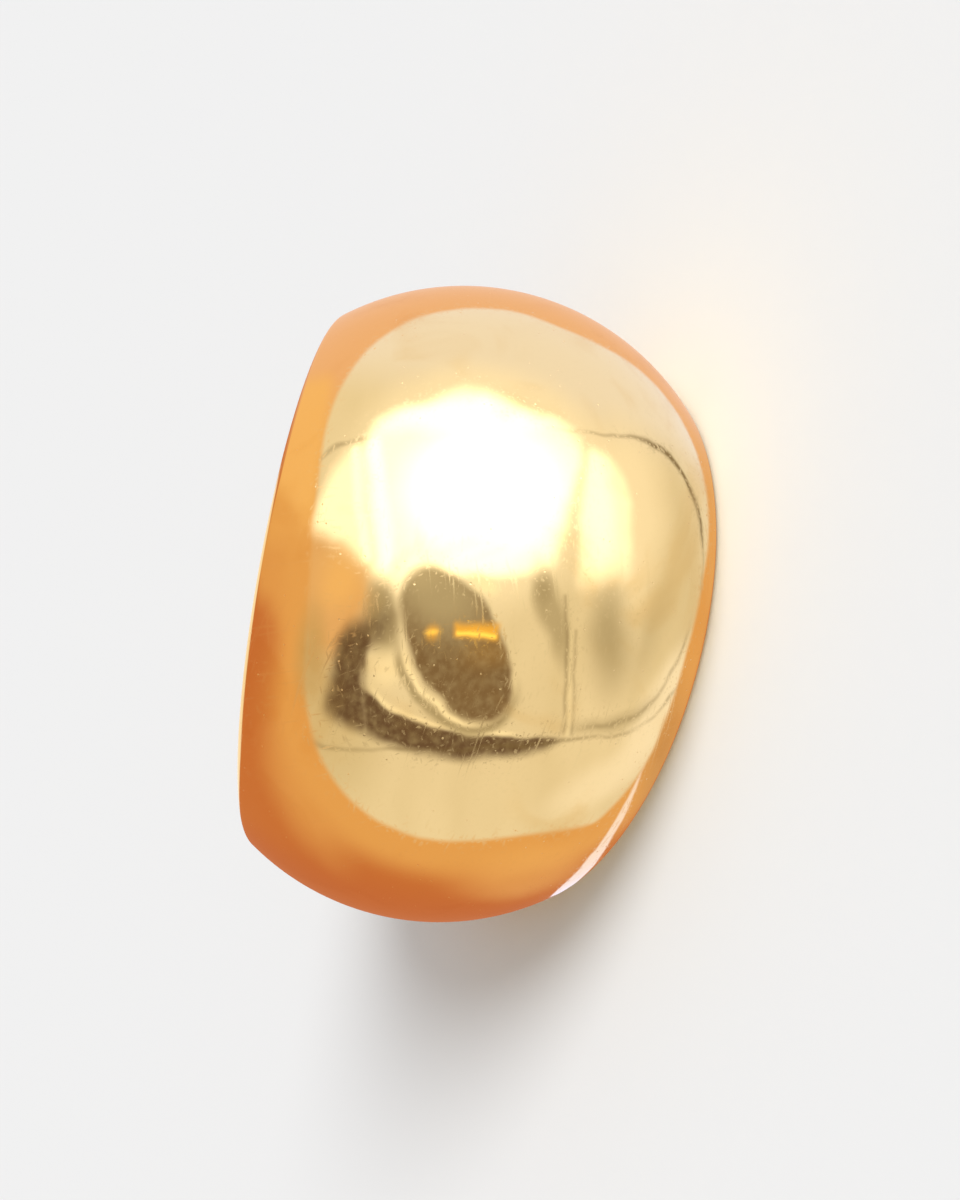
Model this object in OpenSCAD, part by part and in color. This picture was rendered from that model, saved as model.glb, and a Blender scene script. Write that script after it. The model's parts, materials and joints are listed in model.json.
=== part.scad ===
// Dome ring: one piece of polished metal. Its outside is turned about an axis that lies a
// little off the middle of the finger hole, so the metal is thick at the crest and thin at
// the back. Two flat sides slope toward each other from the crest to the back. The ring
// lies on one of them, with its crest to the front (-Y). Sizes are in millimetres.

/* [Finger hole] */
// Diameter of the finger hole
bore_d = 17.3; // [14:0.1:22]
// Width of the eased edge round each mouth of the finger hole
mouth_ease = 0.3; // [0.1:0.05:0.4]

/* [Dome] */
// Metal between the finger hole and the crest
crest_t = 5.6; // [4:0.1:8]
// Metal between the finger hole and the outside, at the back
back_t = 1.4; // [1:0.1:2.4]
// Metal left at the rim under the crest, where the dome meets the flat side
rim_t = 0.65; // [0.5:0.05:1.2]

/* [Sides] */
// Width along the hole at the rims under the crest
crest_w = 17.2; // [13:0.1:20]
// Width along the hole at the back
back_w = 5; // [3.5:0.1:9]

/* [Hidden] */
$fn = 180;
bore_r = bore_d / 2;

// Largest radius of the turned outside, and how far its axis lies from the finger hole's
// axis, toward the crest
turned_r = bore_r + (crest_t + back_t) / 2;
turned_shift = (crest_t - back_t) / 2;

// The outside is turned to one arc, which runs from rim to rim over the crest
rim_half = crest_w / 2;
rim_r = bore_r + rim_t - turned_shift;
arc_rise = turned_r - rim_r;
arc_r = (rim_half * rim_half + arc_rise * arc_rise) / (2 * arc_rise);

// Each flat side slopes from the rim under the crest to the outside at the back
side_slope = (crest_w - back_w) / 2 / (2 * bore_r + rim_t + back_t);
side_lean = atan(side_slope);
// Height of each flat side over the middle of the finger hole
side_mid = rim_half - side_slope * (bore_r + rim_t);

// Larger than the ring every way, for what is cut away
reach = 2 * (turned_r + crest_w);

// The finger hole runs along Z here, and the crest faces -Y
module turned_outside() {
    translate([0, -turned_shift, 0])
        rotate_extrude()
            intersection() {
                translate([turned_r - arc_r, 0]) circle(r = arc_r);
                translate([0, -arc_r]) square([2 * turned_r, 2 * arc_r]);
            }
}

// All that lies above the upper flat side
module above_side() {
    translate([0, 0, side_mid])
        rotate([-side_lean, 0, 0])
            translate([-reach, -reach, 0])
                cube([2 * reach, 2 * reach, reach]);
}

// A cone skewed to follow the sloping side, so that the eased edge is even all round
module upper_mouth() {
    multmatrix([[1, 0, 0, 0],
                [0, 1, 0, 0],
                [0, -side_slope, 1, side_mid],
                [0, 0, 0, 1]])
        translate([0, 0, -mouth_ease])
            cylinder(h = 2 * mouth_ease, r1 = bore_r, r2 = bore_r + 2 * mouth_ease);
}

module ring_about_hole() {
    difference() {
        turned_outside();
        cylinder(h = reach, r = bore_r, center = true);
        for (lower = [0, 1]) mirror([0, 0, lower]) {
            above_side();
            upper_mouth();
        }
    }
}

// The ring laid on its lower side, with the middle of the turned outside over the origin
module dome_band() {
    color("gold")
        translate([0, turned_shift * cos(side_lean), side_mid * cos(side_lean)])
            rotate([-side_lean, 0, 0])
                ring_about_hole();
}

dome_band();
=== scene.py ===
# %% [markdown]
# # A polished dome ring
#
# The ring is one piece of gold: a dome that is wide and thick at the crest and narrows to the
# back, two flat sides, and a plain round hole. Polished metal has next to no look of its own. It
# shows its surroundings, bent by its shape, so three things decide how real it looks: a mesh
# that is smooth enough for a mirror, soft edges that catch the light, and a studio worth
# reflecting. The cells below make them in that order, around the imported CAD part.

# %% Load the frame
import json
import math

import bmesh
import bpy
from mathutils import Matrix, Vector
from mathutils.bvhtree import BVHTree


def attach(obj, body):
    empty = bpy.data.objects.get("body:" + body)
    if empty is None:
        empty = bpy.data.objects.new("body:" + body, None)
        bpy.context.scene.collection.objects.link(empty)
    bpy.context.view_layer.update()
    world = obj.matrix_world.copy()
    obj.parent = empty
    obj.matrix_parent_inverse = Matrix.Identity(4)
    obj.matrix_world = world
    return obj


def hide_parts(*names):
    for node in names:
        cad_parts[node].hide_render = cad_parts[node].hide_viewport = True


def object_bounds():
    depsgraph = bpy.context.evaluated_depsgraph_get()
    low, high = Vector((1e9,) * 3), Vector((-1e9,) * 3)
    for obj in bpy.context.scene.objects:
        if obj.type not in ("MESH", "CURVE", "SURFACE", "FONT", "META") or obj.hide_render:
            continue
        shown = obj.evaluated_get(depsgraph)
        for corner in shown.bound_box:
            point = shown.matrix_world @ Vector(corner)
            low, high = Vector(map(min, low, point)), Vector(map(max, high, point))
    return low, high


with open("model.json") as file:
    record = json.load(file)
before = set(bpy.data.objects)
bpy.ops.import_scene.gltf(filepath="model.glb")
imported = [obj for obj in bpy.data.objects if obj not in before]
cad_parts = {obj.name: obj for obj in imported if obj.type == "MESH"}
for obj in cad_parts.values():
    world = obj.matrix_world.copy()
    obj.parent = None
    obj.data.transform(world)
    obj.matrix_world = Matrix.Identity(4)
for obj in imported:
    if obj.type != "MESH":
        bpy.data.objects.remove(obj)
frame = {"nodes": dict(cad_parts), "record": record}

cad_low, cad_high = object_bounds()
MM = 0.001
print("CAD box, mm:", [round(side / MM, 2) for side in cad_high - cad_low])

# %% [markdown]
# ## The sizes, read back from the frame
#
# Nothing is measured twice. The record states the finger hole as a mount, with its radius, its
# middle and the way it leans. The outside was turned about an axis beside that hole, and half
# of the box's width is its largest radius. What no mount says is how much metal stands between
# the hole and the edge of the dome under the crest, so that is a named value here.

# %% Sizes of the ring
hole = next(mount for mount in frame["record"]["mounts"] if mount["name"] == "finger_hole")
hole_r = hole["dims"]["r_mm"] * MM
hole_middle = Vector(hole["pos_m"])
hole_axis = Vector(hole["axis"]).normalized()
lean = math.atan2(hole_axis.y, hole_axis.z)
side_slope = math.tan(lean)

turned_r = (cad_high.x - cad_low.x) / 2
turned_shift = hole_middle.y / math.cos(lean)
side_middle = hole_middle.z / math.cos(lean)

RIM_METAL = 0.65 * MM
rim_half = side_middle + side_slope * (hole_r + RIM_METAL)
arc_rise = turned_r - (hole_r + RIM_METAL - turned_shift)
arc_r = (rim_half ** 2 + arc_rise ** 2) / (2 * arc_rise)
print("hole", round(2 * hole_r / MM, 2), "mm across, leaning", round(math.degrees(lean), 1), "degrees")
print("the dome's arc has a radius of", round(arc_r / MM, 2), "mm")

# %% [markdown]
# ## The shape of the section at any angle
#
# Cut the ring by a plane through the axis of the hole and the section is always the same kind
# of shape: the dome's arc outside, a straight flat side above and below, and the straight wall
# of the hole. Only its width and height change with the angle. Four helpers give what is
# needed: how far the dome reaches, how high the flat side lies, the rim where the two meet, and
# a soft corner. A polishing wheel never leaves a sharp edge, and a soft one draws the thin
# bright line that makes the ring look solid.

# %% Helpers for the section
SOFT_RIM = 0.28 * MM
SOFT_MOUTH = 0.3 * MM
SETTLING_ROUNDS = 12


def dome_reach(angle, height):
    """How far the dome lies from the axis of the hole, at an angle from the crest and a height."""
    turned = turned_r - arc_r + math.sqrt(arc_r ** 2 - height ** 2)
    return turned_shift * math.cos(angle) + math.sqrt(turned ** 2 - (turned_shift * math.sin(angle)) ** 2)


def side_height(angle, reach):
    """Height of the upper flat side over the middle of the hole."""
    return side_middle + side_slope * reach * math.cos(angle)


def rim_corner(angle):
    """Reach and height of the edge where the dome meets the flat side, found by settling."""
    height = side_middle
    for _ in range(SETTLING_ROUNDS):
        height = side_height(angle, dome_reach(angle, height))
    return Vector((dome_reach(angle, height), height))


def soft_corner(start, corner, end, share):
    """A point of the curve that rounds a corner, at a share of the way from start to end."""
    return start.lerp(corner, share).lerp(corner.lerp(end, share), share)


for name, angle in {"crest": 0, "flank": math.pi / 2, "back": math.pi}.items():
    print(name, "rim at reach and height, mm:", [round(v / MM, 2) for v in rim_corner(angle)])

# %% [markdown]
# ## From a doughnut to the band
#
# A band like this could be cut from a turned body with two planes, as a goldsmith would file
# it. But a cut leaves thin slivers of faces along the edge, and a mirror shows every one. So
# the mesh starts as a doughnut: one circle, spun once round. It already has an even net of
# four-sided faces with no seam and no pole. Each of its rows is then laid on one line of the
# section: so many rows for the dome, a few for each soft corner, and so on to the hole.

# %% Rows of the section
ROUND_STEPS = 480
UPPER_ROWS = {"dome": 50, "rim": 8, "side": 4, "mouth": 6, "wall": 10}
half_rows = [(part, step / count) for part, count in UPPER_ROWS.items() for step in range(count)]
upper_rows = [(part, share, 1) for part, share in half_rows]
lower_rows = [("wall", 1, 1)] + [(part, share, -1) for part, share in reversed(half_rows[1:])]
rows = upper_rows + lower_rows
print(len(rows), "rows by", ROUND_STEPS, "steps:", 2 * len(rows) * ROUND_STEPS, "triangles")


def section_point(angle, rim, part, share):
    """Reach and height of one row at an angle, in the upper half of the section."""
    toward_hole = Vector((-1, -side_slope * math.cos(angle))).normalized()
    mouth = Vector((hole_r, side_height(angle, hole_r)))
    soft_start = arc_r * math.sin(math.asin(rim.y / arc_r) - SOFT_RIM / arc_r)
    dome_end = Vector((dome_reach(angle, soft_start), soft_start))
    side_start = rim + SOFT_RIM * toward_hole
    side_end = mouth - SOFT_MOUTH * toward_hole
    wall_start = mouth - Vector((0, SOFT_MOUTH))
    if part == "dome":
        height = arc_r * math.sin(share * math.asin(soft_start / arc_r))
        return Vector((dome_reach(angle, height), height))
    if part == "rim":
        return soft_corner(dome_end, rim, side_start, share)
    if part == "side":
        return side_start.lerp(side_end, share)
    if part == "mouth":
        return soft_corner(side_end, mouth, wall_start, share)
    return wall_start.lerp(Vector((hole_r, 0)), share)


# %% Spin the doughnut and lay its rows on the section
TUBE_R, RING_R = 1, 3
band = bmesh.new()
bmesh.ops.create_circle(band, segments=len(rows), radius=TUBE_R)
bmesh.ops.rotate(band, verts=band.verts, matrix=Matrix.Rotation(math.pi / 2, 3, "X"))
bmesh.ops.translate(band, verts=band.verts, vec=(RING_R, 0, 0))
bmesh.ops.spin(band, geom=band.verts[:] + band.edges[:], cent=(0, 0, 0), axis=(0, 0, 1),
               angle=2 * math.pi, steps=ROUND_STEPS, use_merge=True)

rim_at = {}
row_of = band.verts.layers.int.new("row")
for vert in band.verts:
    step = round(math.atan2(vert.co.y, vert.co.x) / (2 * math.pi) * ROUND_STEPS) % ROUND_STEPS
    around_tube = math.atan2(vert.co.z, math.hypot(vert.co.x, vert.co.y) - RING_R)
    row = round(around_tube / (2 * math.pi) * len(rows)) % len(rows)
    angle = 2 * math.pi * step / ROUND_STEPS
    if step not in rim_at:
        rim_at[step] = rim_corner(angle)
    part, share, upward = rows[row]
    reach, height = section_point(angle, rim_at[step], part, share)
    vert.co = (reach * math.sin(angle), -reach * math.cos(angle), upward * height)
    vert[row_of] = row
print("doughnut laid on the section:", len(band.verts), "points,", len(band.faces), "faces")

# %% Lay the ring on its side
upright = Matrix.Translation(hole_middle) @ Matrix.Rotation(-lean, 4, "X")
bmesh.ops.transform(band, matrix=upright, verts=band.verts)
bmesh.ops.recalc_face_normals(band, faces=band.faces)

HOLE_PARTS = ("mouth", "wall")
for face in band.faces:
    face.smooth = True
    face.material_index = int(all(rows[v[row_of]][0] in HOLE_PARTS for v in face.verts))

band_mesh = bpy.data.meshes.new("gold_band")
band.to_mesh(band_mesh)
gold_band = bpy.data.objects.new("gold_band", band_mesh)
bpy.context.scene.collection.objects.link(gold_band)
surface = BVHTree.FromBMesh(band)
off = [surface.find_nearest(v.co)[3] for v in frame["nodes"]["dome_band"].data.vertices]
band.free()
print("the CAD part's points lie within", round(max(off) / MM, 3), "mm of the new surface")

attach(gold_band, "root")
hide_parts("dome_band")

# %% [markdown]
# ## Node groups for a worn polish
#
# Two finishes share the same few marks, so each mark is a node group, built once. A group gives
# only a mask or a height that changes over the surface, and each material decides what it does
# there. Small helpers make a group with its named sockets, add a node with its values, do sums
# and place a group, to keep the recipes short enough to read.

# %% Helpers for node trees
def new_group(name, inputs, outputs):
    """An empty shader group. inputs maps names to (socket type, default), outputs names to types."""
    tree = bpy.data.node_groups.new(name, "ShaderNodeTree")
    for label, (kind, value) in inputs.items():
        tree.interface.new_socket(label, in_out="INPUT", socket_type=kind).default_value = value
    for label, kind in outputs.items():
        tree.interface.new_socket(label, in_out="OUTPUT", socket_type=kind)
    return tree, tree.nodes.new("NodeGroupInput"), tree.nodes.new("NodeGroupOutput")


def set_sockets(tree, node, sockets):
    """Sets inputs, by name or number, to a value or to another node's output."""
    for key, value in sockets.items():
        if isinstance(value, bpy.types.NodeSocket):
            tree.links.new(value, node.inputs[key])
        else:
            node.inputs[key].default_value = value


def add(tree, kind, sockets=None, **settings):
    """Adds a node with its settings and its inputs."""
    node = tree.nodes.new(kind)
    for key, value in settings.items():
        setattr(node, key, value)
    set_sockets(tree, node, sockets or {})
    return node


def maths(tree, operation, *values):
    """The output of a Math node for one, two or three values."""
    return add(tree, "ShaderNodeMath", dict(enumerate(values)), operation=operation).outputs[0]


def vector_maths(tree, operation, *values):
    """The vector that a Vector Math node makes of its values."""
    return add(tree, "ShaderNodeVectorMath", dict(enumerate(values)), operation=operation).outputs[0]


def ramp(tree, value, start, end, low=0, shape="SMOOTHSTEP"):
    """How far a value has come on its way from start to end, as a number from low to 1."""
    sockets = {"Value": value, "From Min": start, "From Max": end, "To Min": low}
    return add(tree, "ShaderNodeMapRange", sockets, interpolation_type=shape).outputs[0]


def placed(tree, group, **sockets):
    """Places a node group, with its inputs given by name, an underscore for each space."""
    node = tree.nodes.new("ShaderNodeGroup")
    node.node_tree = group
    set_sockets(tree, node, {key.replace("_", " "): value for key, value in sockets.items()})
    return node


# %% [markdown]
# ### Hairlines
#
# A worn ring carries fine scratches from keys, cups and cloth. They are straight or gently
# bent, thin as a hair, and run in every direction. Noise that is stretched fiftyfold along one
# axis gives such lines. Only its highest crests are kept, so that the lines are few, and the
# place is bent a little first so that none is ruler straight. Three turned copies cross each
# other.

# %% Hairline scratches
FLOAT, VECTOR = "NodeSocketFloat", "NodeSocketVector"
PLACE = (VECTOR, (0, 0, 0))
BENDS_PER_METRE = 150
BEND_REACH = 1.2 * MM
HIGHEST_CREST = 0.8

hairlines, given, result = new_group(
    "hairlines",
    {"Place": PLACE, "Fineness": (FLOAT, 9000), "Stretch": (FLOAT, 0.02), "Sparse": (FLOAT, 0.66)},
    {"Lines": FLOAT})
wander = add(hairlines, "ShaderNodeTexNoise",
             {"Vector": given.outputs["Place"], "Scale": BENDS_PER_METRE, "Detail": 1})
bent = vector_maths(hairlines, "MULTIPLY_ADD", wander.outputs["Color"], (BEND_REACH,) * 3,
                    given.outputs["Place"])
TURNS = ((0.1, 0.3, 0.0), (0.9, -0.4, 0.5), (-0.5, 0.7, 1.3))
crossed = 0.0
for turn in TURNS:
    turned = add(hairlines, "ShaderNodeVectorRotate", {"Vector": bent, "Rotation": turn},
                 rotation_type="EULER_XYZ")
    squeezed = add(hairlines, "ShaderNodeCombineXYZ", {"X": given.outputs["Stretch"], "Y": 1, "Z": 1})
    stretched = vector_maths(hairlines, "MULTIPLY", turned.outputs[0], squeezed.outputs[0])
    streaks = add(hairlines, "ShaderNodeTexNoise",
                  {"Vector": stretched, "Scale": given.outputs["Fineness"], "Detail": 0})
    kept = ramp(hairlines, streaks.outputs[0], given.outputs["Sparse"], HIGHEST_CREST)
    crossed = maths(hairlines, "MAXIMUM", crossed, kept)
hairlines.links.new(crossed, result.inputs["Lines"])
print("hairlines:", len(TURNS), "turned copies")

# %% [markdown]
# ### Specks and slow swells
#
# Close up, the darker reflections are dotted with tiny bright specks: pinholes and dust dents
# that tip toward the light. Cells of a Voronoi pattern make them, each a round dent at the
# middle of its cell, and a random number per cell leaves most cells empty. The second mark is
# far larger. No polished dome is a perfect surface, and its slow swells make straight lines in
# the reflection waver. The third is a faint film of smears, which dulls the polish in clouds.

# %% Specks, swells and smears
DENT_FLOOR = 0.02
FILM_STARTS, FILM_FULL = 0.48, 0.72

specks, given, result = new_group(
    "specks",
    {"Place": PLACE, "Spacing": (FLOAT, 0.35 * MM), "Size": (FLOAT, 0.16), "Share": (FLOAT, 0.25)},
    {"Dots": FLOAT})
per_metre = maths(specks, "DIVIDE", 1.0, given.outputs["Spacing"])
cells = add(specks, "ShaderNodeTexVoronoi", {"Vector": given.outputs["Place"], "Scale": per_metre})
dot = ramp(specks, cells.outputs["Distance"], given.outputs["Size"], DENT_FLOOR)
lot = add(specks, "ShaderNodeSeparateColor", {"Color": cells.outputs["Color"]})
chosen = maths(specks, "LESS_THAN", lot.outputs[0], given.outputs["Share"])
specks.links.new(maths(specks, "MULTIPLY", dot, chosen), result.inputs["Dots"])

swells, given, result = new_group(
    "swells", {"Place": PLACE, "Length": (FLOAT, 3 * MM)}, {"Height": FLOAT})
per_metre = maths(swells, "DIVIDE", 1.0, given.outputs["Length"])
slow = add(swells, "ShaderNodeTexNoise",
           {"Vector": given.outputs["Place"], "Scale": per_metre, "Detail": 1})
swells.links.new(slow.outputs[0], result.inputs["Height"])

smears, given, result = new_group(
    "smears", {"Place": PLACE, "Clouds Per Metre": (FLOAT, 260)}, {"Film": FLOAT})
clouds = add(smears, "ShaderNodeTexNoise",
             {"Vector": given.outputs["Place"], "Scale": given.outputs["Clouds Per Metre"],
              "Detail": 3, "Distortion": 0.8})
film = ramp(smears, clouds.outputs[0], FILM_STARTS, FILM_FULL)
smears.links.new(film, result.inputs["Film"])
print("groups:", sorted(group.name for group in bpy.data.node_groups))

# %% [markdown]
# ## Two finishes of one gold
#
# Gold's colour is the colour of its reflection, so it goes into Base Color of a fully metallic
# Principled shader. The outside is polished almost to a mirror. The wall of the hole is the
# same gold, rubbed by wear to a soft satin, with finer and deeper lines. Scratches and specks
# are mostly height: each one tips the surface and catches another part of the studio.

# %% The gold materials
GOLD = (0.95, 0.70, 0.33, 1)
DEEP_GOLD = (0.91, 0.63, 0.265, 1)
ROUGHER_IN_LINES = 0.14
ROUGHER_IN_DOTS = 0.4
MICRON = 1e-6


def gold_finish(name, smooth, filmed, line_depth, speck_depth, swell_depth, fineness):
    """A gold material. smooth and filmed are its roughness where clean and where smeared.

    The depths are in microns. fineness is how many lines lie side by side in a metre.
    """
    material = bpy.data.materials.new(name)
    material.use_nodes = True
    tree = material.node_tree
    shader = tree.nodes["Principled BSDF"]
    shader.inputs["Metallic"].default_value = 1
    place = add(tree, "ShaderNodeTexCoord").outputs["Object"]
    lines = placed(tree, hairlines, Place=place, Fineness=fineness).outputs["Lines"]
    dots = placed(tree, specks, Place=place).outputs["Dots"]
    swell = placed(tree, swells, Place=place).outputs["Height"]
    haze = placed(tree, smears, Place=place).outputs["Film"]

    colour = add(tree, "ShaderNodeMix", {"Factor": haze, "A": GOLD, "B": DEEP_GOLD}, data_type="RGBA")
    rubbed = maths(tree, "MULTIPLY_ADD", haze, filmed - smooth, smooth)
    rough = maths(tree, "MULTIPLY_ADD", lines, ROUGHER_IN_LINES, rubbed)
    rough = maths(tree, "MULTIPLY_ADD", dots, ROUGHER_IN_DOTS, rough)
    tree.links.new(colour.outputs["Result"], shader.inputs["Base Color"])
    tree.links.new(rough, shader.inputs["Roughness"])

    height = maths(tree, "MULTIPLY", lines, -line_depth * MICRON)
    height = maths(tree, "MULTIPLY_ADD", dots, -speck_depth * MICRON, height)
    height = maths(tree, "MULTIPLY_ADD", swell, swell_depth * MICRON, height)
    bump = add(tree, "ShaderNodeBump", {"Height": height, "Distance": 1.0})
    tree.links.new(bump.outputs[0], shader.inputs["Normal"])
    return material


mirror_gold = gold_finish("mirror_gold", smooth=0.035, filmed=0.10, line_depth=0.13,
                          speck_depth=2.8, swell_depth=2.5, fineness=9000)
satin_gold = gold_finish("satin_gold", smooth=0.16, filmed=0.26, line_depth=1.2,
                         speck_depth=1.5, swell_depth=3, fineness=14000)
gold_band.data.materials.append(mirror_gold)
gold_band.data.materials.append(satin_gold)
print("materials:", [material.name for material in gold_band.data.materials])

# %% [markdown]
# ## The camera
#
# The camera looks at the crest from a little toward one flank and a little over the rim, from
# 40 cm away through a long lens, as for a small thing. Its three directions were found by
# fitting the ring's outline, and they are given here by three plain angles in the ring's own
# terms: round the hole, along the hole, and the tilt of the picture.

# %% Place the camera
LOOK_ROUND, LOOK_ALONG, PICTURE_TILT = (math.radians(a) for a in (9.1, 9.3, 12.6))
DISTANCE = 0.4
LENS_MM, SENSOR_MM = 314, 36
AIM_RIGHT, AIM_UP = 1.5, 0.4

from_crest = Matrix.Rotation(-lean, 3, "X")
to_camera = from_crest @ Vector((-math.sin(LOOK_ROUND) * math.cos(LOOK_ALONG),
                                 -math.cos(LOOK_ROUND) * math.cos(LOOK_ALONG), math.sin(LOOK_ALONG)))
along_hole = from_crest @ Vector((-math.sin(LOOK_ROUND) * math.sin(LOOK_ALONG),
                                  -math.cos(LOOK_ROUND) * math.sin(LOOK_ALONG), -math.cos(LOOK_ALONG)))
across = along_hole.cross(to_camera)
picture_right = along_hole * math.cos(PICTURE_TILT) - across * math.sin(PICTURE_TILT)
picture_up = to_camera.cross(picture_right)

aim = hole_middle + (AIM_RIGHT * picture_right + AIM_UP * picture_up) * MM
camera_data = bpy.data.cameras.new("camera")
camera_data.lens = LENS_MM
camera_data.sensor_width = SENSOR_MM
camera_data.clip_start = 0.01
camera = bpy.data.objects.new("camera", camera_data)
camera.matrix_world = Matrix.Translation(aim + DISTANCE * to_camera) @ Matrix(
    (picture_right, picture_up, to_camera)).transposed().to_4x4()
bpy.context.scene.collection.objects.link(camera)
bpy.context.scene.camera = camera
print("camera", round(math.degrees(math.asin(to_camera.z)), 1), "degrees over the floor")
print("right", [round(v, 3) for v in picture_right], "up", [round(v, 3) for v in picture_up])

# %% [markdown]
# ## The floor and its light
#
# The floor is plain and pale. It is lit from all round by the sky of the scene, which is one
# even tone, and by a wide soft sun that gives the shadow a direction. The sun is just strong
# enough to make the floor the same tone as the sky, so no horizon shows from any side. Neither
# the floor nor the sun shows in the metal: what the ring reflects comes in the next cells.

# %% Floor and sun
PALE = 0.88
SKY_LIGHT = 0.62
FLOOR_GREY = 0.80
FLOOR_HALF = 3
SUN_HEIGHT = math.radians(50)
SUN_SIDE = math.radians(45)
SUN_SPREAD = math.radians(40)

floor_builder = bmesh.new()
bmesh.ops.create_grid(floor_builder, x_segments=8, y_segments=8, size=FLOOR_HALF)
floor_mesh = bpy.data.meshes.new("pale_floor")
floor_builder.to_mesh(floor_mesh)
floor_builder.free()
pale_floor = bpy.data.objects.new("pale_floor", floor_mesh)
pale_floor.visible_glossy = False
bpy.context.scene.collection.objects.link(pale_floor)

matt = bpy.data.materials.new("matt_card")
matt.use_nodes = True
card_shader = matt.node_tree.nodes["Principled BSDF"]
card_shader.inputs["Base Color"].default_value = (FLOOR_GREY, FLOOR_GREY, FLOOR_GREY, 1)
card_shader.inputs["Roughness"].default_value = 1
card_shader.inputs["Specular IOR Level"].default_value = 0
floor_mesh.materials.append(matt)

sun_data = bpy.data.lights.new("soft_sun", "SUN")
sun_data.energy = math.pi * (PALE / FLOOR_GREY - SKY_LIGHT) / math.sin(SUN_HEIGHT)
sun_data.angle = SUN_SPREAD
soft_sun = bpy.data.objects.new("soft_sun", sun_data)
to_sun = Vector((math.cos(SUN_SIDE) * math.cos(SUN_HEIGHT), -math.sin(SUN_SIDE) * math.cos(SUN_HEIGHT),
                 math.sin(SUN_HEIGHT)))
soft_sun.rotation_euler = to_sun.to_track_quat("Z", "Y").to_euler()
soft_sun.visible_glossy = False
bpy.context.scene.collection.objects.link(soft_sun)
print("sun of", round(sun_data.energy, 2), "W/m2 over a floor of", FLOOR_GREY)

# %% [markdown]
# ## A light tent for the metal
#
# Jewellery is shot in a tent of white cloth, because polished metal shows whatever stands round
# it. A dome shows nearly all of it at once: the bright cloth in front of the lamp, the dark
# opening with the lens, the thin seams. The tent here is painted on the sky, for reflections
# alone. Every direction is turned into a place on a round chart, in degrees: zero is the
# direction from the ring to the camera, and the distance from zero is the angle away from it.
# That direction is a fixed vector, so the tent stays where it is when a second camera looks
# from another side.

# %% The chart of directions
chart, given, result = new_group(
    "chart_of_directions", {"Direction": (VECTOR, (0, 0, 1))}, {"Place": VECTOR})


def share_along(direction):
    """How much of the given direction lies along a fixed one."""
    node = add(chart, "ShaderNodeVectorMath", {0: given.outputs["Direction"], 1: tuple(direction)},
               operation="DOT_PRODUCT")
    return node.outputs["Value"]


ahead = maths(chart, "MINIMUM", maths(chart, "MAXIMUM", share_along(to_camera), -1.0), 1.0)
away = maths(chart, "DEGREES", maths(chart, "ARCCOSINE", ahead))
flat = add(chart, "ShaderNodeCombineXYZ", {"X": share_along(picture_right), "Y": share_along(picture_up)})
bearing = vector_maths(chart, "NORMALIZE", flat.outputs[0])
spread = add(chart, "ShaderNodeVectorMath", {0: bearing, "Scale": away}, operation="SCALE")
chart.links.new(spread.outputs[0], result.inputs["Place"])
print("the chart takes", len(chart.nodes), "nodes")

# %% [markdown]
# ### Two figures for all that hangs there
#
# Everything in the tent is drawn with two figures, each of which can be turned and has a soft
# edge: a rounded pane and an oval. Filled, they are a lamp, the lens or a dark opening. As a
# line along the edge, they are a seam or a fold. Each group works out how far a place lies
# outside its figure, and a third group turns that distance into the two masks.

# %% Masks of a distance
masks, given, result = new_group(
    "masks_of_distance", {"Outside": (FLOAT, 0), "Softness": (FLOAT, 2), "Line": (FLOAT, 1)},
    {"Inside": FLOAT, "Edge": FLOAT})
soft_inward = maths(masks, "MULTIPLY", given.outputs["Softness"], -1.0)
filled = ramp(masks, given.outputs["Outside"], given.outputs["Softness"], soft_inward)
off_the_edge = maths(masks, "ABSOLUTE", given.outputs["Outside"])
outlined = ramp(masks, off_the_edge, given.outputs["Line"], 0)
masks.links.new(filled, result.inputs["Inside"])
masks.links.new(outlined, result.inputs["Edge"])
print("masks:", [socket.name for socket in result.inputs if socket.name])


# %% The two figures
def new_figure(name, distance_outside):
    """A figure's group. distance_outside adds the nodes that measure it in one mirrored quarter."""
    tree, given, result = new_group(
        name, {"Place": PLACE, "Middle": PLACE, "Half Size": (VECTOR, (10, 10, 1)), "Turn": (FLOAT, 0),
               "Corner": (FLOAT, 5), "Softness": (FLOAT, 2), "Line": (FLOAT, 1)},
        {"Inside": FLOAT, "Edge": FLOAT})
    moved = vector_maths(tree, "SUBTRACT", given.outputs["Place"], given.outputs["Middle"])
    back = maths(tree, "MULTIPLY", given.outputs["Turn"], -1.0)
    turned = add(tree, "ShaderNodeVectorRotate", {"Vector": moved, "Angle": back}, rotation_type="Z_AXIS")
    quarter = vector_maths(tree, "ABSOLUTE", turned.outputs[0])
    outside = distance_outside(tree, quarter, given.outputs["Half Size"], given.outputs["Corner"])
    drawn = placed(tree, masks, Outside=outside, Softness=given.outputs["Softness"],
                   Line=given.outputs["Line"])
    tree.links.new(drawn.outputs["Inside"], result.inputs["Inside"])
    tree.links.new(drawn.outputs["Edge"], result.inputs["Edge"])
    return tree


def outside_pane(tree, quarter, half, corner):
    """Distance outside a rectangle with rounded corners."""
    rounding = add(tree, "ShaderNodeCombineXYZ", {"X": corner, "Y": corner}).outputs[0]
    beyond = vector_maths(tree, "ADD", vector_maths(tree, "SUBTRACT", quarter, half), rounding)
    past = add(tree, "ShaderNodeVectorMath", {0: vector_maths(tree, "MAXIMUM", beyond, (0, 0, 0))},
               operation="LENGTH").outputs["Value"]
    split = add(tree, "ShaderNodeSeparateXYZ", {0: beyond})
    within = maths(tree, "MINIMUM", maths(tree, "MAXIMUM", split.outputs[0], split.outputs[1]), 0.0)
    return maths(tree, "SUBTRACT", maths(tree, "ADD", past, within), corner)


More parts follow.
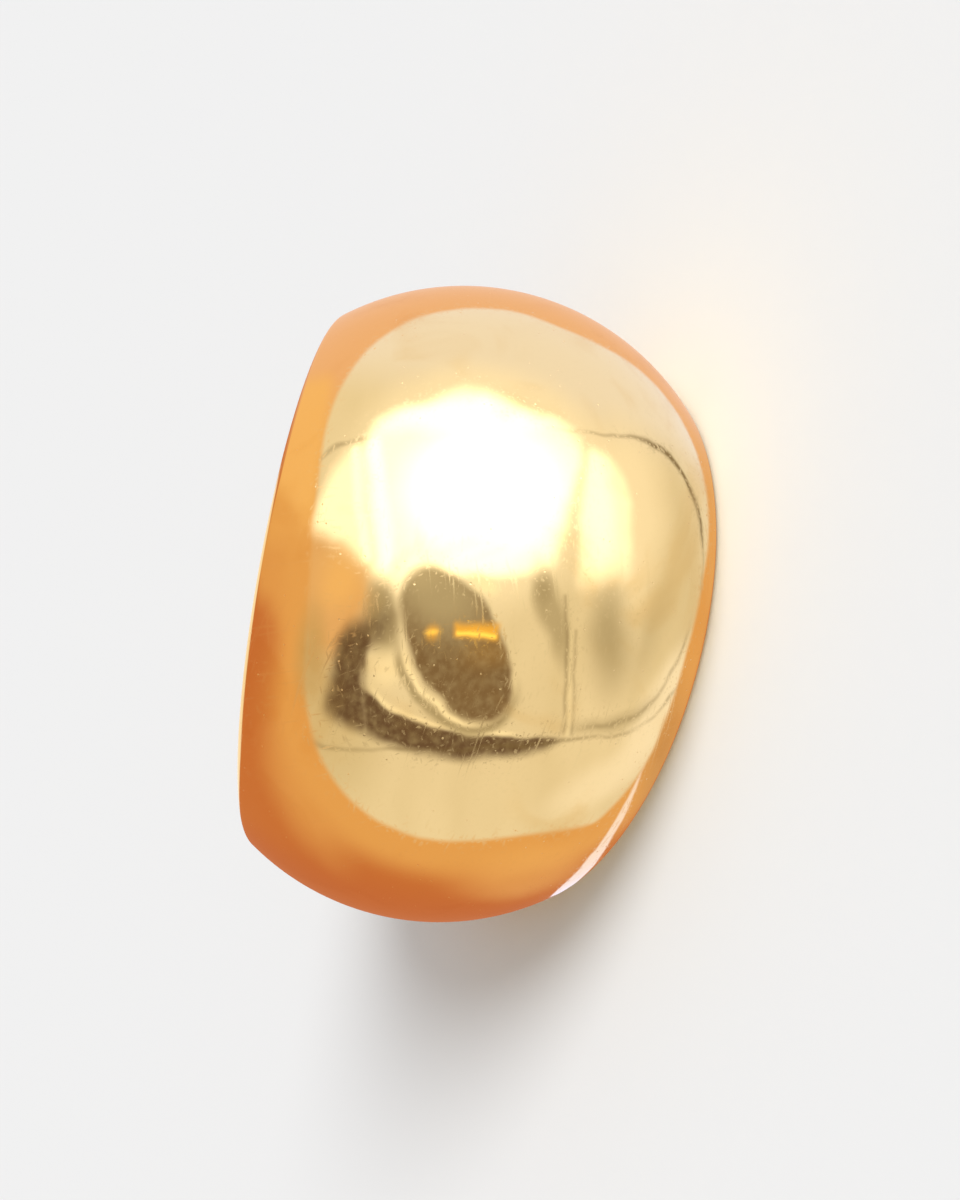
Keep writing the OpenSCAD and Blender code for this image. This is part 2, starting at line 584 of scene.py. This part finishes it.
def outside_oval(tree, quarter, half, corner):
    """Distance outside an oval, near enough: how many times its size, by its shorter half."""
    times = add(tree, "ShaderNodeVectorMath", {0: vector_maths(tree, "DIVIDE", quarter, half)},
                operation="LENGTH").outputs["Value"]
    split = add(tree, "ShaderNodeSeparateXYZ", {0: half})
    shorter = maths(tree, "MINIMUM", split.outputs[0], split.outputs[1])
    return maths(tree, "MULTIPLY", maths(tree, "SUBTRACT", times, 1.0), shorter)


rounded_pane = new_figure("rounded_pane", outside_pane)
soft_oval = new_figure("soft_oval", outside_oval)
print("figures:", rounded_pane.name, soft_oval.name)

# %% [markdown]
# ### The sky, a little wavy
#
# The sky's Generated coordinate is the direction in which it is seen. The chart turns that into
# a place, and slow noise shifts the place by a few degrees, because hanging cloth and polished
# metal show no ruler straight line. The outline of the cloth is shifted less. The helpers then
# draw a figure's mask, join masks and lay tones over each other, as a painter lays one coat
# over another.

# %% Start the sky
WAVES_PER_DEGREE = 0.045
MOTTLE_PER_DEGREE = 0.3
WAVE, CALM_WAVE = 7, 2

world = bpy.data.worlds.new("tent")
bpy.context.scene.world = world
world.use_nodes = True
sky = world.node_tree
sky.nodes.clear()
looking = add(sky, "ShaderNodeTexCoord").outputs["Generated"]
steady = placed(sky, chart, Direction=looking).outputs["Place"]
sway = add(sky, "ShaderNodeTexNoise", {"Vector": steady, "Scale": WAVES_PER_DEGREE, "Detail": 2})
swing = vector_maths(sky, "SUBTRACT", sway.outputs["Color"], (0.5,) * 3)
spot = vector_maths(sky, "MULTIPLY_ADD", swing, (WAVE, WAVE, 0), steady)
calm_spot = vector_maths(sky, "MULTIPLY_ADD", swing, (CALM_WAVE, CALM_WAVE, 0), steady)
mottle = add(sky, "ShaderNodeTexNoise", {"Vector": spot, "Scale": MOTTLE_PER_DEGREE, "Detail": 4})


# %% Helpers for drawing in the sky
def figure(group, middle, half, turn=0, corner=5, soft=2, line=None, strength=1, at=spot):
    """The mask of a figure on the chart, in degrees, or of its edge where a line's width is given."""
    node = placed(sky, group, Place=at, Middle=(*middle, 0), Half_Size=(*half, 1),
                  Turn=math.radians(turn), Corner=corner, Softness=soft, Line=line or 1)
    return maths(sky, "MULTIPLY", node.outputs["Edge" if line else "Inside"], strength)


def within_pane(middle, half, **looks):
    """The mask of a rounded pane."""
    return figure(rounded_pane, middle, half, **looks)


def within_oval(middle, half, **looks):
    """The mask of an oval."""
    return figure(soft_oval, middle, half, **looks)


def overlap(*masks_given):
    """Where all the masks overlap."""
    shared = masks_given[0]
    for mask in masks_given[1:]:
        shared = maths(sky, "MULTIPLY", shared, mask)
    return shared


def outside_of(mask):
    """The mask turned about."""
    return maths(sky, "SUBTRACT", 1.0, mask)


def laid_over(under, over, mask):
    """One tone with another laid over it where the mask is. A tone is a colour or a node's output."""
    sockets = {"Factor": mask}
    for label, value in (("A", under), ("B", over)):
        sockets[label] = (*value, 1) if isinstance(value, tuple) else value
    return add(sky, "ShaderNodeMix", sockets, data_type="RGBA").outputs["Result"]


def with_layers(tone, *layers):
    """A tone with more tones laid over it in turn, each given with its mask."""
    for over, mask in layers:
        tone = laid_over(tone, over, mask)
    return tone


def say_drawn(what):
    """Prints what has just been drawn in the sky."""
    print(what, "drawn, so the sky has", len(sky.nodes), "nodes")


# %% [markdown]
# ### Warm room and cloth
#
# Outside the cloth the room is dimmer and warm, which gives the edges of the ring their deep
# orange gold. It is palest overhead and beside the lamp, and darkest low down. The cloth is one
# big sheet of white, a little cooler at the top and brighter beside the floor. Its outline is
# where two rounded panes overlap. Slow noise stands for its hanging folds. Past its low edge,
# nearly behind the ring, a narrow gap lets a pale light in.

# %% The warm room
WARM = (0.83, 0.49, 0.225)
WARM_PALE = (0.98, 0.66, 0.34)
WARM_DULL = (0.64, 0.40, 0.225)
WARM_TOP = (0.92, 0.60, 0.44)
WARM_DEEP = (0.62, 0.23, 0.095)
WARM_LOW = (0.59, 0.20, 0.09)
BACK_CLOTH = (1.05, 1.0, 0.95)
GAP_LIGHT = (1.05, 1.0, 1.25)


def sheet_shape(margin, soft):
    """The outline of the big cloth, grown by a margin."""
    upright_part = within_pane((45, 20), (114 + margin, 115 + margin), corner=74 + margin, soft=soft,
                               at=calm_spot)
    turned_part = within_pane((-6.7, 24.6), (135.5 + margin, 115 + margin), turn=-19.4,
                              corner=80 + margin, soft=soft, at=calm_spot)
    return overlap(upright_part, turned_part)


gap = overlap(within_pane((108.5, -131), (30, 56), turn=-22.3, corner=2, soft=1),
              within_pane((63, -111.5), (30, 52), turn=-10.4, corner=2, soft=1))
tone = with_layers(
    laid_over(WARM_DEEP, WARM, sheet_shape(22, 13)),
    (WARM_TOP, within_pane((20, 145), (170, 75), corner=60, soft=35)),
    (WARM_LOW, within_pane((-40, -164), (140, 42), turn=-16, corner=20, soft=16)),
    (WARM, within_oval((-72, -82), (28, 11), turn=-60, soft=10, strength=0.6)),
    (WARM_LOW, within_oval((-93, 0), (10, 34), soft=9, strength=0.65)),
    (WARM_PALE, within_pane((-84, 62), (16, 34), corner=8, soft=6, strength=0.9)),
    (WARM_PALE, within_oval((44, -122), (34, 16), soft=10, strength=0.45)),
    (WARM_DULL, within_oval((114, -66), (12, 24), soft=14, strength=0.85)),
    (BACK_CLOTH, within_pane((-145, -5), (32, 55), corner=20, soft=6)),
    (GAP_LIGHT, gap))
say_drawn("warm room")

# %% The cloth
CLOTH = (0.91, 0.90, 0.90)
CLOTH_TOP = (0.95, 0.99, 1.22)
CLOTH_NEAR_FLOOR = (1.03, 1.05, 1.16)
CLOTH_DIM = (0.76, 0.73, 0.66)
FOLDS_PER_DEGREE = (0.03, 0.012, 0)
FOLD_STARTS, FOLD_FULL = 0.4, 0.7
FOLD_STRENGTH = 0.5

folds = add(sky, "ShaderNodeTexNoise",
            {"Vector": vector_maths(sky, "MULTIPLY", spot, FOLDS_PER_DEGREE), "Scale": 1, "Detail": 2})
in_fold = ramp(sky, folds.outputs[0], FOLD_STARTS, FOLD_FULL, shape="LINEAR")
cloth = with_layers(
    CLOTH,
    (CLOTH_DIM, maths(sky, "MULTIPLY", in_fold, FOLD_STRENGTH)),
    (CLOTH_TOP, within_pane((40, 112), (120, 36), turn=-12, corner=20, soft=16)),
    (CLOTH_DIM, within_oval((108, 10), (20, 40), turn=12, soft=14, strength=0.7)),
    (CLOTH_NEAR_FLOOR, within_oval((102, -48), (30, 12), turn=50, soft=6)),
    (CLOTH_NEAR_FLOOR, within_oval((74, -74), (26, 9), turn=18, soft=6, strength=0.8)),
    (CLOTH_DIM, within_oval((-60, -46), (26, 30), turn=30, soft=12)))
sheet = sheet_shape(0, 1.8)
tone = laid_over(tone, cloth, sheet)
say_drawn("cloth")

# %% [markdown]
# ### The lamp
#
# One big lamp behind the cloth, over the camera, burns it to white. It widens upward to a low
# gable, so it is drawn as the overlap of two turned panes and a level one. The metal's colour
# shows even there, because the blue part of the light is the last to burn out, so the lamp has
# a hot middle and a yellower edge. A narrow panel hangs on each side of it, and the cloth round
# it glows.

# %% The lamp and its side panels
LAMP_GLOW = (1.12, 1.13, 1.2)
LAMP = (2.1, 2.15, 2.3)
LAMP_BRIGHT = (2.8, 2.8, 3.2)
LAMP_HEART = (4.0, 4.0, 4.0)
SIDE_PANEL = (1.6, 1.6, 1.7)
STRIPE = (2.2, 2.2, 2.3)

left_panel = overlap(within_oval((-45, 25), (24, 38), soft=4),
                     within_pane((-31.7, 66.6), (60, 50), turn=-29, soft=4))
right_panel = overlap(within_pane((51, 22), (28, 36), corner=24, soft=4),
                      within_pane((91.6, 12.5), (40, 72), turn=-8, corner=4, soft=3),
                      within_oval((60, 52), (54, 44), soft=8))
lamp = overlap(within_pane((24.5, 28.4), (60, 60), turn=16, corner=14, soft=5),
               within_pane((-19.9, 28.5), (60, 60), turn=-21, corner=14, soft=5),
               within_pane((0, 62), (80, 50), turn=-2, soft=3))
bright_side = within_pane((-38, 40), (4, 27), turn=12, soft=3, strength=0.7)
bright_top = within_oval((6, 73), (44, 6), soft=5)
tone = with_layers(
    tone,
    (LAMP_GLOW, overlap(sheet, within_oval((4, 47), (62, 48), soft=10, strength=0.8))),
    (LAMP_GLOW, overlap(sheet, within_oval((76, 32), (24, 36), soft=12, strength=0.7))),
    (SIDE_PANEL, left_panel),
    (SIDE_PANEL, right_panel),
    (STRIPE, within_pane((-46.5, 40), (2.2, 23), turn=13, corner=2, soft=2, strength=0.8)),
    (STRIPE, overlap(right_panel, within_oval((61, 36), (8, 24), turn=8, soft=6))),
    (LAMP, lamp),
    (LAMP_BRIGHT, overlap(lamp, bright_side)),
    (LAMP_BRIGHT, overlap(lamp, bright_top)),
    (LAMP_HEART, within_oval((10, 42), (32, 24), soft=12)))
say_drawn("lamp")

# %% [markdown]
# ### The opening for the camera
#
# Under the lamp the tent stands open for the camera. A dark curve lies round the foot of the
# lens, wide at one side and running out to nothing at the other. It is a wide oval, cut by a
# pane on the wide side, with a smaller oval and a pane taken out of it. On the wide side the
# warm room also shows past the cloth, and a shaded strip leads up from the curve.

# %% The warm patch and the dark curve
WARM_SHADE = (0.60, 0.46, 0.27)
SHADE = (0.42, 0.39, 0.32)
DARK_CURVE = (0.155, 0.108, 0.087)
CREASE = (1.25, 1.25, 1.2)
MOTTLE_STARTS, MOTTLE_FULL = 0.42, 0.75
DULL_ON_CURVE, DULL_ON_LENS = 0.5, 0.4

dull_spots = ramp(sky, mottle.outputs[0], MOTTLE_STARTS, MOTTLE_FULL, shape="LINEAR")
dark_mottled = laid_over(DARK_CURVE, SHADE, maths(sky, "MULTIPLY", dull_spots, DULL_ON_CURVE))
inner_curve = {"middle": (4.9, -34.2), "turn": -11.9}
dark_curve = overlap(within_oval((8, -15.3), (80, 42), turn=-3.8, soft=3),
                     within_pane((-8, -52), (55, 35.5), turn=-16, corner=8, soft=4),
                     outside_of(within_oval(half=(46.6, 12.6), soft=1, **inner_curve)),
                     outside_of(within_pane((55.5, 2), (89.2, 54), turn=-11.9, corner=18, soft=1.5)))
tone = with_layers(
    tone,
    (WARM, within_pane((-77, 17), (40, 17), turn=-34, corner=12, soft=6, strength=0.8)),
    (WARM_PALE, within_oval((-53, 12), (11, 9), turn=-30, soft=7, strength=0.8)),
    (WARM_SHADE, within_oval((-66, -14), (7, 16), soft=5, strength=0.75)),
    (SHADE, within_oval((-33.5, -3), (7, 12.5), turn=8, soft=3, strength=0.85)),
    (dark_mottled, dark_curve),
    (dark_mottled, within_oval((-39, -8), (11, 5), turn=35, soft=4, strength=0.7)),
    (CREASE, within_oval((-31, -21), (6, 6), soft=5, strength=0.45)))
say_drawn("dark curve")

# %% [markdown]
# ### The lens
#
# The lens is the dark oval over that curve, with the small amber lamp of the camera in it, a bar
# and a dot. It is palest at the top, where its glass catches the lamp. Between the curve and the
# lens the cloth has a dull fold between two bright creases: one follows the curve and the other
# follows the lens. All of these lines are edges of ovals, cut short by a soft pane. A small
# bright scrap of cloth hangs beside the top of the lens.

# %% The creases between the dark curve and the lens
lens_place = {"middle": (-0.2, -14.4), "turn": -52.6}
by_the_curve = within_pane((-8, -46), (34, 12), turn=-12, corner=8, soft=6)
by_the_lens = within_pane((-6, -36), (31, 17), turn=-12, corner=10, soft=6)
curve_crease = within_oval(half=(45.4, 11.4), line=1.4, strength=0.65, **inner_curve)
dull_fold = within_oval(half=(35, 23.8), line=3.4, strength=0.85, **lens_place)
lens_crease = within_oval(half=(32.4, 20.8), line=1.8, strength=0.7, **lens_place)
tone = with_layers(
    tone,
    (CREASE, overlap(curve_crease, by_the_curve)),
    (SHADE, overlap(dull_fold, by_the_lens)),
    (CREASE, overlap(lens_crease, by_the_lens)))
say_drawn("creases")

# %% The lens and its amber lamp
LENS_UPPER = (0.50, 0.475, 0.42)
LENS_LOWER = (0.235, 0.175, 0.125)
AMBER_GLOW = (1.0, 0.62, 0.14)
AMBER = (1.7, 1.3, 0.35)

lens_tone = with_layers(
    LENS_LOWER,
    (LENS_UPPER, within_oval((-10, 7), (22, 14), turn=-34, soft=10)),
    (LENS_UPPER, maths(sky, "MULTIPLY", dull_spots, DULL_ON_LENS)),
    (CLOTH_DIM, within_oval((-17, 14), (8, 5), turn=-20, soft=5, strength=0.35)),
    (AMBER_GLOW, within_oval((13, -17), (9, 5), soft=5, strength=0.12)))
tone = with_layers(
    tone,
    (lens_tone, within_oval(half=(33.9, 17.5), soft=1.7, **lens_place)),
    (CREASE, within_oval((9.6, 7.2), (5.8, 3.4), turn=-20, soft=2.2, strength=0.85)))

# The tone, height, half thickness and softness of the amber lamp's glow and of its bright heart
AMBER_PARTS = (
    (AMBER_GLOW, -9.3, 2.4, 2),
    (AMBER, -10.5, 0.6, 1.2),
)
for colour, height, thick, soft in AMBER_PARTS:
    amber_bar = within_pane((8.2, height), (8 + thick / 2, thick), turn=-5, corner=0.5, soft=soft)
    amber_dot = within_oval((-11.2, -8.7), (1.8 + thick / 2, thick), soft=soft, strength=0.75)
    tone = with_layers(tone, (colour, amber_bar), (colour, amber_dot))
say_drawn("lens")

# %% [markdown]
# ### Folds and seams
#
# Beside the opening the cloth hangs in folds, drawn as soft ovals of shade. Where two sheets are
# sewn together there is a thin dark line. Two long seams follow the edges of wide panes, and a
# few short ones stand upright by the opening, with bright creases along them. The outer long
# seam is darkest where it turns away at the side, and slow noise makes both fainter in places.

# %% The shaded folds
# The middle, half size, turn, softness and strength of each shaded fold beside the opening
SHADED_FOLDS = (
    ((69, -13), (9, 18), 6, 8, 0.75),
    ((89, -18), (7, 18), -28, 8, 0.35),
    ((41, -6), (5, 19), 22, 3, 0.7),
    ((36, 3), (4.5, 5), 0, 3, 0.55),
)
for middle, half, turn, soft, strength in SHADED_FOLDS:
    tone = laid_over(tone, SHADE, within_oval(middle, half, turn=turn, soft=soft, strength=strength))
say_drawn("folds")

# %% The long seams
SEAM = (0.22, 0.18, 0.12)
SEAM_FADES, SEAM_WHOLE, SEAM_FAINTEST = 0.3, 0.6, 0.35

past_lamp = overlap(sheet, outside_of(lamp))
faded = ramp(sky, sway.outputs[0], SEAM_FADES, SEAM_WHOLE, low=SEAM_FAINTEST, shape="LINEAR")
first = {"middle": (19, 6.5), "half": (110, 59.5), "corner": 48}
second = {"middle": (17, 6), "half": (104, 54), "corner": 45}
tone = with_layers(
    tone,
    (SEAM, overlap(past_lamp, faded, within_pane(**first, line=1.6, strength=0.5))),
    (SEAM, overlap(within_pane(**first, line=2.6, strength=0.85),
                   within_oval((112, 46), (32, 30), soft=10))),
    (SHADE, overlap(within_pane(**second, line=6, strength=0.5),
                    within_oval((76, -45), (22, 13), soft=8))),
    (SEAM, overlap(faded, within_pane(**second, line=2, strength=0.45),
                   within_oval((100, -42), (40, 30), soft=8))))
say_drawn("long seams")

# %% The upright seams
UPRIGHT_LEAN = 4.5
UPRIGHT_HALF_WIDTH = 0.6

# The middle, half height, tone and strength of each upright seam or crease
UPRIGHT_SEAMS = (
    ((48, -24), 26, SEAM, 0.5),
    ((50.7, -31), 20, CREASE, 0.3),
    ((53, -31), 20, SEAM, 0.4),
    ((-41, -32), 14, CREASE, 0.12),
)
for middle, half_height, colour, strength in UPRIGHT_SEAMS:
    line = within_pane(middle, (UPRIGHT_HALF_WIDTH, half_height), turn=UPRIGHT_LEAN, corner=0.4,
                       soft=1.2, strength=strength)
    tone = laid_over(tone, colour, line)
say_drawn("upright seams")

# %% [markdown]
# ### Three skies in one
#
# The tent is for reflections alone. The camera sees a plain pale backdrop instead, and the light
# that falls on the floor comes from an even, dimmer sky. The Light Path node tells these rays
# apart. The colours are shown as they are, with no film look laid over them.

# %% Finish the sky
tent_light = add(sky, "ShaderNodeBackground", {"Color": tone, "Strength": 1})
path = add(sky, "ShaderNodeLightPath")
plain_strength = maths(sky, "MULTIPLY_ADD", path.outputs["Is Camera Ray"], PALE - SKY_LIGHT, SKY_LIGHT)
plain_light = add(sky, "ShaderNodeBackground", {"Color": (1, 1, 1, 1), "Strength": plain_strength})
chosen_light = add(sky, "ShaderNodeMixShader",
                   {0: path.outputs["Is Glossy Ray"], 1: plain_light.outputs[0], 2: tent_light.outputs[0]})
add(sky, "ShaderNodeOutputWorld", {"Surface": chosen_light.outputs[0]})
bpy.context.scene.view_settings.view_transform = "Standard"
say_drawn("whole tent")
